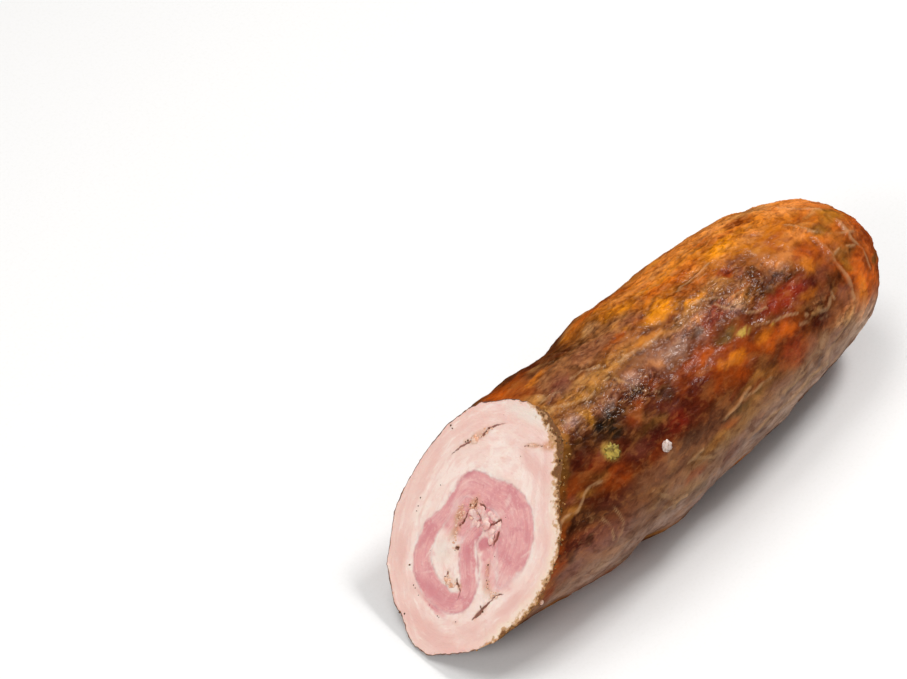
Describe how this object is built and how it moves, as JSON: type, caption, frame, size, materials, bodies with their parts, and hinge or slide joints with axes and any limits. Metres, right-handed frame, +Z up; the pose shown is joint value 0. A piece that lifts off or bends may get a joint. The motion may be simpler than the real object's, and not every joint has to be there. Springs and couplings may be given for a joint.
{
  "type": "half rolled pancetta",
  "caption": "Half of a rolled and smoked pancetta, lying on its side and cut through on a slant, so that the lean layer curled inside its pale fat shows.",
  "frame": {"origin": "bottom centre of the whole, on the surface that the roll lies on", "axes": "+X along the roll from the cut to the closed end, +Z up, +Y to the left seen from the cut"},
  "size_m": [0.2974, 0.0986, 0.0953],
  "materials": {
    "smoked_rind": "glossy, wrinkled, smoked brown and amber, with pale pink fat where it is cut",
    "lean_meat": "moist, satin, rose pink"
  },
  "bodies": {
    "root": {"fat_and_rind": "smoked_rind", "lean_layer": "lean_meat"}
  },
  "joints": []
}
